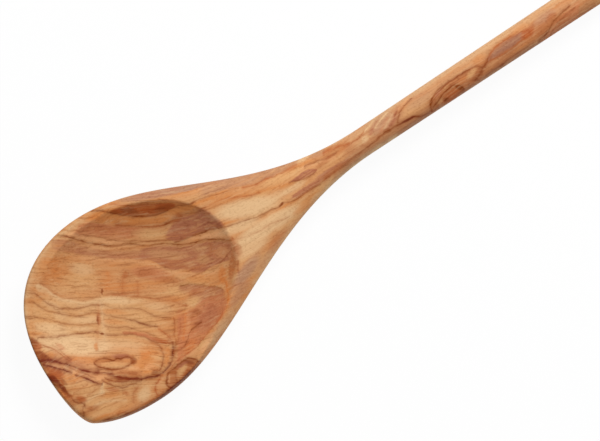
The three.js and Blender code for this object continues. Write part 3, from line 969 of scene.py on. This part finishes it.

# Figure on the shoulder, with painted sheen along its edges
SHOULDER_MARKS = (
    Patch(PALE, 0.9, (246, 208), (42, 12), -14, 0.4),
    Patch(PALE, 0.5, (272, 198), (24, 6), -24),
    Patch(HONEY, 0.8, (284, 177), (28, 6), -24, 0.3),
    Patch(PALE, 0.85, (268, 225), (46, 10), -30, 0.5),
    Patch(PALE, 0.7, (252, 243), (26, 13), -40, 0.4),
    Patch(PALE, 0.8, (241, 226), (26, 7), -22, 0.3),
    Patch(BROWN, 0.5, (238, 249), (5, 9), -14),
    Patch(RUST, 0.35, (278, 238), (20, 5), -50, 0.2),
    # The dusky patches and the pale line near the lower edge are painted sheen
    Patch(DUSK_AND_PAINTED_SHEEN, 0.3, (268, 256), (26, 5), -52, 0.2),
    Line(PALE, 0.6, 2.4, 4,
         ((246, 296), (256, 281), (275, 252.5), (292.5, 228.5), (312.5, 206.5), (332.5, 182.5),
          (349, 167)), 0.15),
    Patch(DUSK_AND_PAINTED_SHEEN, 0.8, (246, 272), (28, 8), -54, 0.2),
    # The dusky band, patch and line along the upper edge are painted sheen
    Band(DUSK_AND_PAINTED_SHEEN, 0.55, 1, 1,
         ((196, 181), (220, 178), (245, 174), (265, 168), (285, 161), (304, 154)),
         ((196, 199), (220, 191), (245, 185), (263, 180), (275, 175.5), (286, 170), (304, 159)), 0.1),
    Line(RUST, 0.8, 1.2, 0.75,
         ((240, 187.5), (255, 184.5), (263, 180.5), (275, 176), (286, 171), (299, 163.5))),
    Patch(DUSK_AND_PAINTED_SHEEN, 0.95, (182, 188), (28, 5), -8, 0.5),
    Patch(MAUVE, 0.5, (172, 189), (10, 3.4), -8),
    Line(DUSK_AND_PAINTED_SHEEN, 0.9, 1.3, 1.3,
         ((150, 189), (180, 184), (210, 181), (235, 177), (262, 169.5), (290, 160), (310, 151))),
    Line(LINE, 0.5, 0.68, 0.68, ((188, 204), (196, 200.5), (205, 197.5), (222, 193), (240, 187.5))),
    Line(GOLD, 0.85, 2, 1.6,
         ((205, 207), (218, 201), (230, 196.5), (245, 194.5), (258, 192.5), (266, 190), (276, 187.5),
          (286, 185), (297, 180.5))),
    Line(RUST, 0.6, 0.68, 0.83,
         ((200, 209.5), (213, 204), (222, 200), (232, 197.5), (248, 195.5), (262, 192))),
    Band(MAUVE, 0.9, 0.8, 0.8,
         ((290, 182), (298, 176), (306, 171), (313, 169), (318, 169)),
         ((290, 182.5), (300, 180), (308, 177), (313, 174.5), (318, 170)), 0.04),
    Line(UMBER, 0.8, 0.68, 0.68,
         ((288, 183), (293, 181.5), (300, 180.3), (308, 177.2), (314, 173.5), (318, 169))),
    Line(PEACH, 0.8, 0.98, 0.98, ((300, 170), (307, 166.5), (316, 164.5), (326, 160.5), (337, 155))),
    Band(MAUVE, 0.75, 1, 1,
         ((290, 197), (304, 187), (315, 179), (325, 171), (335, 165), (350, 156)),
         ((290, 199), (302, 195), (315, 187), (325, 179), (336, 171), (350, 161)), 0.05),
    Patch(PALE, 0.6, (293, 188), (18, 4), -30, 0.3),
    Patch(HONEY, 0.6, (331, 180), (22, 6), -38, 0.3),
    Patch(GOLD, 0.6, (308, 202), (24, 6), -42, 0.3),
    Patch(PALE, 0.45, (316, 198), (10, 4), -46),
    Line(LINE, 0.7, 0.7, 0.75,
         ((218, 229), (230, 226), (240, 222), (249, 219), (260, 215.5), (270, 210.5), (277, 207.5),
          (284, 203), (292, 200.5), (300, 196), (310, 190), (320, 184), (330, 176), (340, 167.5), (350, 160),
          (362, 150.5))),
    Patch(LINE, 0.85, (281.5, 204.5), (4.5, 1.8), -42),
    Line(RUST, 0.55, 1.9, 1.9, ((322, 182), (330, 176), (340, 167.5), (350, 160), (360, 152), (370, 144))),
    Line(BROWN, 0.4, 0.75, 0.9, ((228, 240.5), (245, 237), (260, 231), (270, 225), (280, 220.5), (290, 217))),
)

# The long line along the handle's lower side, and the outline of the leaf further up
LOWER_SIDE = ((340, 168.5), (350, 160.5), (360, 152.5), (370, 145), (380, 136.5), (392, 129))
LEAF_TOP = ((491, 53), (497, 45.5), (504, 40.3), (512, 35.8), (520, 32.6))
LEAF_BOTTOM = ((488, 60.5), (497, 57), (507, 50.5), (515, 45), (523, 38.5), (530, 32))

# Figure on the neck and the handle, with painted light, shade and sheen
HANDLE_MARKS = (
    # Ground: duller than the bowl, paler with painted light along the upper side, browner with painted shade
    # along the lower side
    Band(DUSK_AND_PAINTED_SHEEN, 0.3, 3, 3,
         ((340, 125), (362, 104), (400, 76), (450, 44), (500, 12), (550, -20), (600, -52)),
         ((340, 190), (362, 170), (400, 142), (450, 110), (500, 77), (550, 44), (600, 12)), 0.04),
    Band(PALE, 0.5, 1, 5,
         ((330, 130), (362, 110), (400, 80), (450, 50), (500, 16), (550, -16), (600, -50)),
         ((330, 148), (362, 130), (400, 105), (450, 73), (500, 40), (550, 7), (600, -26)), 0.02),
    Band(BROWN, 0.55, 13, 1,
         ((330, 178), (362, 152), (400, 124), (450, 91), (500, 58), (550, 25), (600, -8)),
         ((330, 230), (362, 200), (400, 170), (450, 140), (500, 110), (550, 80), (600, 50)), 0.02),

    # Wedge and pale slips at the neck
    Patch(BROWN, 0.5, (322, 165), (11, 4), -34),
    Patch(BROWN, 0.35, (337, 151), (22, 5), -32, 0.2),
    Patch(DUSK_AND_PAINTED_SHEEN, 0.5, (318, 154), (12, 5), -26),
    Patch(PALE, 0.6, (303, 159), (10, 3.4), -28),
    Line(RUST, 0.7, 2, 1.6, ((322, 153.5), (330, 149.5), (340, 146), (351, 142.5))),
    Line(UMBER, 0.75, 0.9, 0.9, ((303, 168), (314, 162.5), (322, 159.5), (330, 156), (338, 151.5))),
    Patch(BROWN, 0.6, (327, 157), (9, 2.6), -28),
    Patch(BROWN, 0.4, (350, 150), (11, 4), -38),
    Line(BROWN, 0.75, 0.8, 0.8, ((350, 143), (356, 139.5), (361, 135), (366, 128.5), (372, 122))),

    # Feathered slips across the handle
    Patch(DUSK_AND_PAINTED_SHEEN, 0.7, (382, 123), (18, 9), -46, 0.3),
    Patch(PALE, 0.6, (365, 139), (5, 4), -50),
    Line(PALE, 0.9, 1.4, 1.4, ((364, 132), (369, 126), (374, 120), (378, 115)), 0.1),
    Line(MAUVE, 0.8, 1.6, 1.6, ((369, 136), (374, 128), (379, 119)), 0.1, upright=True),
    Line(PALE, 1, 0.9, 0.9, ((375, 129), (379, 122.5), (384, 116), (388, 111)), 0.1, upright=True),
    Line(ROSE, 0.6, 1.3, 1.3, ((380, 133), (384, 125), (389, 116)), 0.15, upright=True),
    Line(PALE, 0.8, 1.3, 1.3, ((384, 130), (389, 121), (394, 112)), 0.15, upright=True),
    Line(MAUVE, 0.85, 1.4, 1.4, ((387, 131), (391, 122.5), (396, 112), (400, 105)), 0.1, upright=True),
    Line(UMBER, 0.6, 0.7, 0.7, ((391, 127), (394, 118), (398, 109)), 0.1, upright=True),
    Patch(MAUVE, 0.6, (394, 121), (8, 2.4), -66),
    Line(PEACH, 0.6, 1.6, 1.6, ((396, 112), (402, 104.5), (410, 97)), 0.15),
    Line(UMBER, 0.85, 0.9, 0.9,
         ((397.5, 124), (398, 117), (401.5, 109.5), (407, 103), (413, 96.5)), upright=True),
    Patch(HONEY, 0.5, (416, 106), (20, 9), -34, 0.3),
    Patch(DUSK_AND_PAINTED_SHEEN, 0.35, (418, 101), (18, 8), -34, 0.2),
    Patch(GOLD, 0.5, (480, 60), (11, 6), -36, 0.2),
    Patch(GOLD, 0.45, (519, 30), (14, 6), -36, 0.2),

    # The long line along the lower side
    Line(BROWN, 0.9, 1.5, 1.5, ((322, 181), (330, 175.5), *LOWER_SIDE)),
    Line(LINE, 0.7, 0.7, 0.7, LOWER_SIDE),
    Line(LINE, 1, 1.1, 1.1,
         ((382, 134), (390, 129.2), (396, 126), (402, 122.8), (408, 119.5), (414, 116.6), (420, 115.6),
          (426, 114), (432, 111.3))),
    Patch(PURPLE, 0.8, (408, 119.6), (12, 1.9), -27, 0.2),

    # Painted sheen along the lower edge
    Line(DUSK_AND_PAINTED_SHEEN, 0.75, 1.4, 4,
         ((330, 184.8), (350, 167.3), (380, 145.3), (400, 132.3), (430, 112.8), (460, 92.8), (480, 80.3),
          (500, 67.8), (520, 54.8), (540, 41.8), (560, 28.3), (580, 14.8)), 0.03),
    Line(PALE, 1, 2, 4, ((318, 199), (330, 186.3), (350, 168.8), (380, 146.8), (402, 132.5)), 0.1),

    # The knot
    Band(BROWN, 0.5, 1, 1,
         ((430, 106), (434, 94.5), (442, 87), (450, 81), (462, 74), (474, 67.5), (484, 70)),
         ((430, 114), (440, 107), (453, 99), (466, 90), (477.6, 82), (484, 76)), 0.03),
    Patch(HONEY, 0.7, (472, 73), (9, 4), -50, 0.2),
    Patch(ORANGE, 0.3, (463, 80), (8, 3.6), -36),
    Patch(MAUVE, 0.7, (438, 93.5), (7, 2.4), -56),
    Patch(HONEY, 0.5, (439, 101), (6, 3), -50),
    Patch(HONEY, 0.4, (446, 88), (6, 3), -36),
    Patch(RUST, 0.8, (453, 95), (14, 6), -36, 0.4),
    Line(LINE, 1.1, 1.1, 1.1,
         ((430, 105), (431.5, 99), (434, 94.5), (438, 90), (443, 86.3), (450, 81), (460, 75), (469, 69.5),
          (475, 66.6), (480, 67), (484, 69))),
    Line(LINE, 1.1, 1.1, 1.1, ((432, 97.5), (430.2, 104), (430.5, 108), (432.5, 112.5)), 0.04, upright=True),
    Line(UMBER, 1, 1.2, 1.2, ((482.5, 66), (482, 70), (479.5, 75), (475, 81.5)), upright=True),
    Line(UMBER, 0.95, 2.2, 1.9, ((482, 69), (485, 64), (489, 57), (494, 48.5)), 0.1, upright=True),
    Line(LINE, 1.2, 1.1, 1.1,
         ((432, 109), (437, 102.5), (441, 97), (445, 92), (450, 87.8), (455, 85.6), (460, 86.8),
          (466, 89.5))),
    Patch(LINE, 1, (460.5, 88), (7, 2.8), 18, 0.2),
    Patch(LINE, 1, (446, 99.4), (4, 2.4), -30, 0.2),
    Patch(UMBER, 0.6, (463, 92), (6, 3), -30),

    # The dusky leaf
    Band(DUSK_AND_PAINTED_SHEEN, 1.1, 0.8, 0.8,
         ((488, 58), *LEAF_TOP, (530, 31)),
         LEAF_BOTTOM, 0.02),
    Patch(PURPLE, 0.38, (508, 45.5), (24, 8), -37, 0.5),
    Line(BROWN, 1.1, 1.6, 1.2, ((487, 60), *LEAF_TOP, (528, 30), (536, 24))),
    Line(BROWN, 0.9, 1, 1, (*LEAF_BOTTOM, (536, 25))),
    Patch(UMBER, 0.5, (490, 57), (5, 3), -60),
    Patch(RUST, 0.9, (527.5, 33.5), (11, 6), -40),
    Patch(BROWN, 0.5, (533, 25), (8, 4), -40),

    # The far end in the picture
    Patch(DUSK_AND_PAINTED_SHEEN, 0.6, (545, 17), (16, 6), -36, 0.2),
    Patch(BROWN, 0.5, (544, 27), (14, 9), -36, 0.2),
    Line(UMBER, 0.55, 1.1, 1.1, ((484, 76), (497, 67.5), (510, 57.5), (522.5, 49.5), (536, 41))),
    Patch(LINE, 0.6, (502, 64.5), (5, 1.5), -33),
    Line(LINE, 1, 1.1, 1.1,
         ((536, 42), (543, 37), (548, 32), (551, 26.5), (555, 20.5), (561, 14), (572, 4)), 0.1),
    Band(ROSE, 0.7, 0.8, 1,
         ((540, 42), (549, 33), (553, 26.5), (558, 20), (564, 13), (580, 0)),
         ((540, 46), (550, 40), (560, 33), (570, 26), (580, 20)), 0.04),
    Patch(BROWN, 0.5, (562, 20), (14, 5), -36),
    Patch(BROWN, 0.75, (552, 17), (8, 5), -36),
    Line(UMBER, 0.6, 0.8, 0.8, ((550, 35), (555, 28), (560, 21.5), (566, 15), (576, 7))),
)

MARK_GROUPS = {
    "hollow_figure_and_painted_rim_sheen": HOLLOW_MARKS,
    "front_figure_and_painted_edge_sheen": FRONT_MARKS,
    "corner_figure": CORNER_MARKS,
    "right_figure_painted_sheen_and_shade": RIGHT_MARKS,
    "shoulder_figure_and_painted_sheen": SHOULDER_MARKS,
    "handle_figure_painted_light_shade_and_sheen": HANDLE_MARKS,
}


def picture_place(wood):
    """Where each point lies in the picture: to the right, down and into it, with a waver."""
    place = wood.add("ShaderNodeTexCoord").outputs["Object"]
    picture = wood.add("ShaderNodeCombineXYZ", {
        0: wood.measure(place, PICTURE_RIGHT, PICTURE_WIDTH / 2),
        1: wood.measure(place, PICTURE_DOWN, PICTURE_HEIGHT / 2),
        2: wood.measure(place, Vector((0, 0, -1)), 0),
    }).outputs[0]
    for length, reach in WAVES:
        picture = wood.stir(picture, length, reach)
    return picture


def grain_place(wood, depth):
    """Where each point lies along the grain, across it and into it: it bends, swells at knots and climbs."""
    flow = wood.math("ADD", wood.down, wood.curve(GRAIN_BEND, wood.right)[0])
    for knot in KNOTS:
        swell = wood.fade(wood.square_out(knot.centre, knot.reach, knot.turn), 1, 0, knot.push)
        flow = wood.math("ADD", flow, swell)
    climb = wood.math("MULTIPLY", wood.fade(wood.down, *CORNER_CLIMB_ROWS, CORNER_CLIMB), wood.right)
    flow = wood.math("ADD", flow, climb)
    return wood.add("ShaderNodeCombineXYZ", {0: wood.right, 1: flow, 2: depth}).outputs[0]


def comb_figure(wood, grain):
    """Sets how the streaks of the grain show in the marks, and lets the marks stray with them."""
    combed = wood.noise(grain, COMB_LUMPS).outputs["Fac"]
    wood.streak = wood.fade(combed, *COMB_FADE)
    ragged = wood.fade(wood.right, *RAGGED_PLACES, RAGGED)
    stray = wood.math("MULTIPLY", wood.math("SUBTRACT", combed, 0.5), ragged)
    wood.right = wood.math("ADD", wood.right, stray)
    wood.down = wood.math("ADD", wood.down, stray)


def ringed_grain(wood, grain):
    """The ground's colour with plain rings, for where no figure is drawn."""
    rings = wood.noise(grain, RING_LUMPS, detail=1).outputs["Fac"]
    ring = wood.math("FRACT", wood.math("MULTIPLY", rings, RINGS))
    plain = Figure(wood.tree, wood.colour)
    plain.lay(BROWN, wood.fade(ring, *RING_FADE))
    plain.lay(LINE, wood.fade(ring, *RING_EDGE_FADE))
    return plain.colour


def lay_fibres(wood, grain, picture):
    """Lays threads, fibres and flecks over the figure, and returns the fibres."""
    threads = wood.noise(grain, THREAD_LUMPS, detail=3).outputs["Fac"]
    calm = wood.fade(wood.right, *CALM_FADE)
    wood.lay(SHADE, wood.math("MULTIPLY", wood.fade(threads, *THREAD_FADE), calm), "MULTIPLY")
    wood.lay(PALE, wood.fade(threads, *PALE_THREAD_FADE))
    fibres = wood.noise(grain, FIBRE_LUMPS).outputs["Fac"]
    wood.lay(SHADE, wood.fade(fibres, *FIBRE_FADE), "MULTIPLY")
    flecks = wood.noise(picture, FLECK_LUMPS).outputs["Fac"]
    wood.lay(SHADE, wood.fade(flecks, *FLECK_FADE), "MULTIPLY")
    return fibres


def oil(wood, shader, fibres):
    """Gives the wood its satin sheen, with fibres that can just be felt."""
    shader.inputs["Specular IOR Level"].default_value = SPECULAR_LEVEL
    shader.inputs["Sheen Weight"].default_value = SHEEN
    shader.inputs["Sheen Roughness"].default_value = SHEEN_ROUGHNESS
    shader.inputs["Sheen Tint"].default_value = PEACH
    depth = FIBRE_DEPTH * MM
    bump = wood.add("ShaderNodeBump", {"Strength": FIBRE_BUMP, "Distance": depth, "Height": fibres})
    range_ends = {"To Min": LEAST_ROUGHNESS, "To Max": MOST_ROUGHNESS}
    rough = wood.add("ShaderNodeMapRange", {"Value": fibres, **range_ends})
    links = wood.tree.links
    links.new(wood.colour, shader.inputs["Base Color"])
    links.new(rough.outputs[0], shader.inputs["Roughness"])
    links.new(bump.outputs[0], shader.inputs["Normal"])


def olive_wood():
    """Oiled olive wood: honey and tan ground, brown bands and thin dark lines, with a satin sheen.

    What the marks need is made just before them, because Cycles keeps only so many values at a time.
    """
    material = bpy.data.materials.new("figured_olive_wood")
    material.use_nodes = True
    wood = Figure(material.node_tree)
    picture = picture_place(wood)
    wood.right, wood.down, depth = wood.add("ShaderNodeSeparateXYZ", {0: picture}).outputs
    wood.wear = wood.fade(wood.noise(picture, WEAR_LUMPS).outputs["Fac"], *WEAR_FADE)
    grain = grain_place(wood, depth)
    comb_figure(wood, grain)

    streaks = wood.noise(grain, STREAK_LUMPS, detail=3).outputs["Fac"]
    wood.lay(HONEY, wood.fade(streaks, *HONEY_FADE))
    wood.lay(GOLD, wood.fade(streaks, *GOLD_FADE))
    plain = ringed_grain(wood, grain)
    normal = wood.add("ShaderNodeNewGeometry").outputs["Normal"]
    upward = wood.add("ShaderNodeSeparateXYZ", {0: normal}).outputs[2]
    # Besides the figure, these marks paint sheen on rims and edges, light and shade across the handle, and
    # shade on the corner side's wall
    for name, marks in MARK_GROUPS.items():
        wood.lay_marks(name, marks)
    underside = wood.fade(upward, *UNDERSIDE_FADE)
    handle_end = wood.fade(wood.right, *HANDLE_END_FADE)
    wood.lay(plain, wood.math("MAXIMUM", underside, handle_end))

    fibres = lay_fibres(wood, grain, picture)
    oil(wood, material.node_tree.nodes["Principled BSDF"], fibres)
    return material


def background_rays(tree):
    """1 for the rays that show the background: straight to the eye, off gloss or through glass."""
    path = tree.nodes.new("ShaderNodeLightPath")
    shows = path.outputs["Is Camera Ray"]
    for kind in ("Is Glossy Ray", "Is Transmission Ray"):
        either = tree.nodes.new("ShaderNodeMath")
        either.operation = "MAXIMUM"
        tree.links.new(shows, either.inputs[0])
        tree.links.new(path.outputs[kind], either.inputs[1])
        shows = either.outputs[0]
    return shows


def make_floor():
    """A pale floor that shows near white to the eye and keeps a faint shadow under the spoon."""
    bpy.ops.mesh.primitive_plane_add(size=FLOOR_SIZE)
    floor = bpy.context.object
    floor.name = "floor"
    material = bpy.data.materials.new("pale_floor")
    material.use_nodes = True
    nodes, links = material.node_tree.nodes, material.node_tree.links
    nodes.clear()
    lit = nodes.new("ShaderNodeBsdfDiffuse")
    lit.inputs["Color"].default_value = (FLOOR_GREY, FLOOR_GREY, FLOOR_GREY, 1)
    white = nodes.new("ShaderNodeEmission")
    share = nodes.new("ShaderNodeMath")
    share.operation = "MULTIPLY"
    share.inputs[1].default_value = FLOOR_WHITE_SHARE
    both = nodes.new("ShaderNodeMixShader")
    output = nodes.new("ShaderNodeOutputMaterial")
    links.new(background_rays(material.node_tree), share.inputs[0])
    links.new(share.outputs[0], both.inputs["Fac"])
    links.new(lit.outputs[0], both.inputs[1])
    links.new(white.outputs[0], both.inputs[2])
    links.new(both.outputs[0], output.inputs["Surface"])
    floor.data.materials.append(material)


def make_light():
    """A broad soft lamp on the round side towards the handle's end, and even light from all round."""
    level = PICTURE_RIGHT * math.sin(KEY_TURN) - PICTURE_DOWN * math.cos(KEY_TURN)
    toward = level * math.cos(KEY_ELEVATION) + Vector((0, 0, math.sin(KEY_ELEVATION)))
    lamp = bpy.data.lights.new("key", "AREA")
    lamp.shape = "DISK"
    lamp.size = KEY_SIZE
    lamp.energy = KEY_ENERGY
    key = bpy.data.objects.new("key", lamp)
    key.location = PICTURE_CENTRE + toward * KEY_DISTANCE
    key.rotation_euler = toward.to_track_quat("Z", "Y").to_euler()
    bpy.context.collection.objects.link(key)

    world = bpy.data.worlds.new("studio")
    world.use_nodes = True
    tree = world.node_tree
    background = tree.nodes["Background"]
    background.inputs["Color"].default_value = (1, 1, 1, 1)
    strength = tree.nodes.new("ShaderNodeMapRange")
    strength.inputs["To Min"].default_value = FILL_STRENGTH
    tree.links.new(background_rays(tree), strength.inputs["Value"])
    tree.links.new(strength.outputs[0], background.inputs["Strength"])
    bpy.context.scene.world = world


def make_camera():
    """A camera straight above the picture's middle, far off, so that it sees almost without perspective."""
    lens = bpy.data.cameras.new("camera")
    lens.sensor_width = SENSOR_WIDTH
    lens.lens = SENSOR_WIDTH * CAMERA_DISTANCE / (PICTURE_WIDTH * PIXEL)
    camera = bpy.data.objects.new("camera", lens)
    above = PICTURE_CENTRE + Vector((0, 0, RIM_HEIGHT * MM + CAMERA_DISTANCE))
    turn = Matrix((PICTURE_RIGHT, -PICTURE_DOWN, (0, 0, 1))).transposed()
    camera.matrix_world = Matrix.Translation(above) @ turn.to_4x4()
    bpy.context.collection.objects.link(camera)
    bpy.context.scene.camera = camera


bpy.context.scene.view_settings.view_transform = "Standard"
make_camera()
make_light()
make_floor()
spoon = make_spoon()
spoon.data.materials.append(olive_wood())
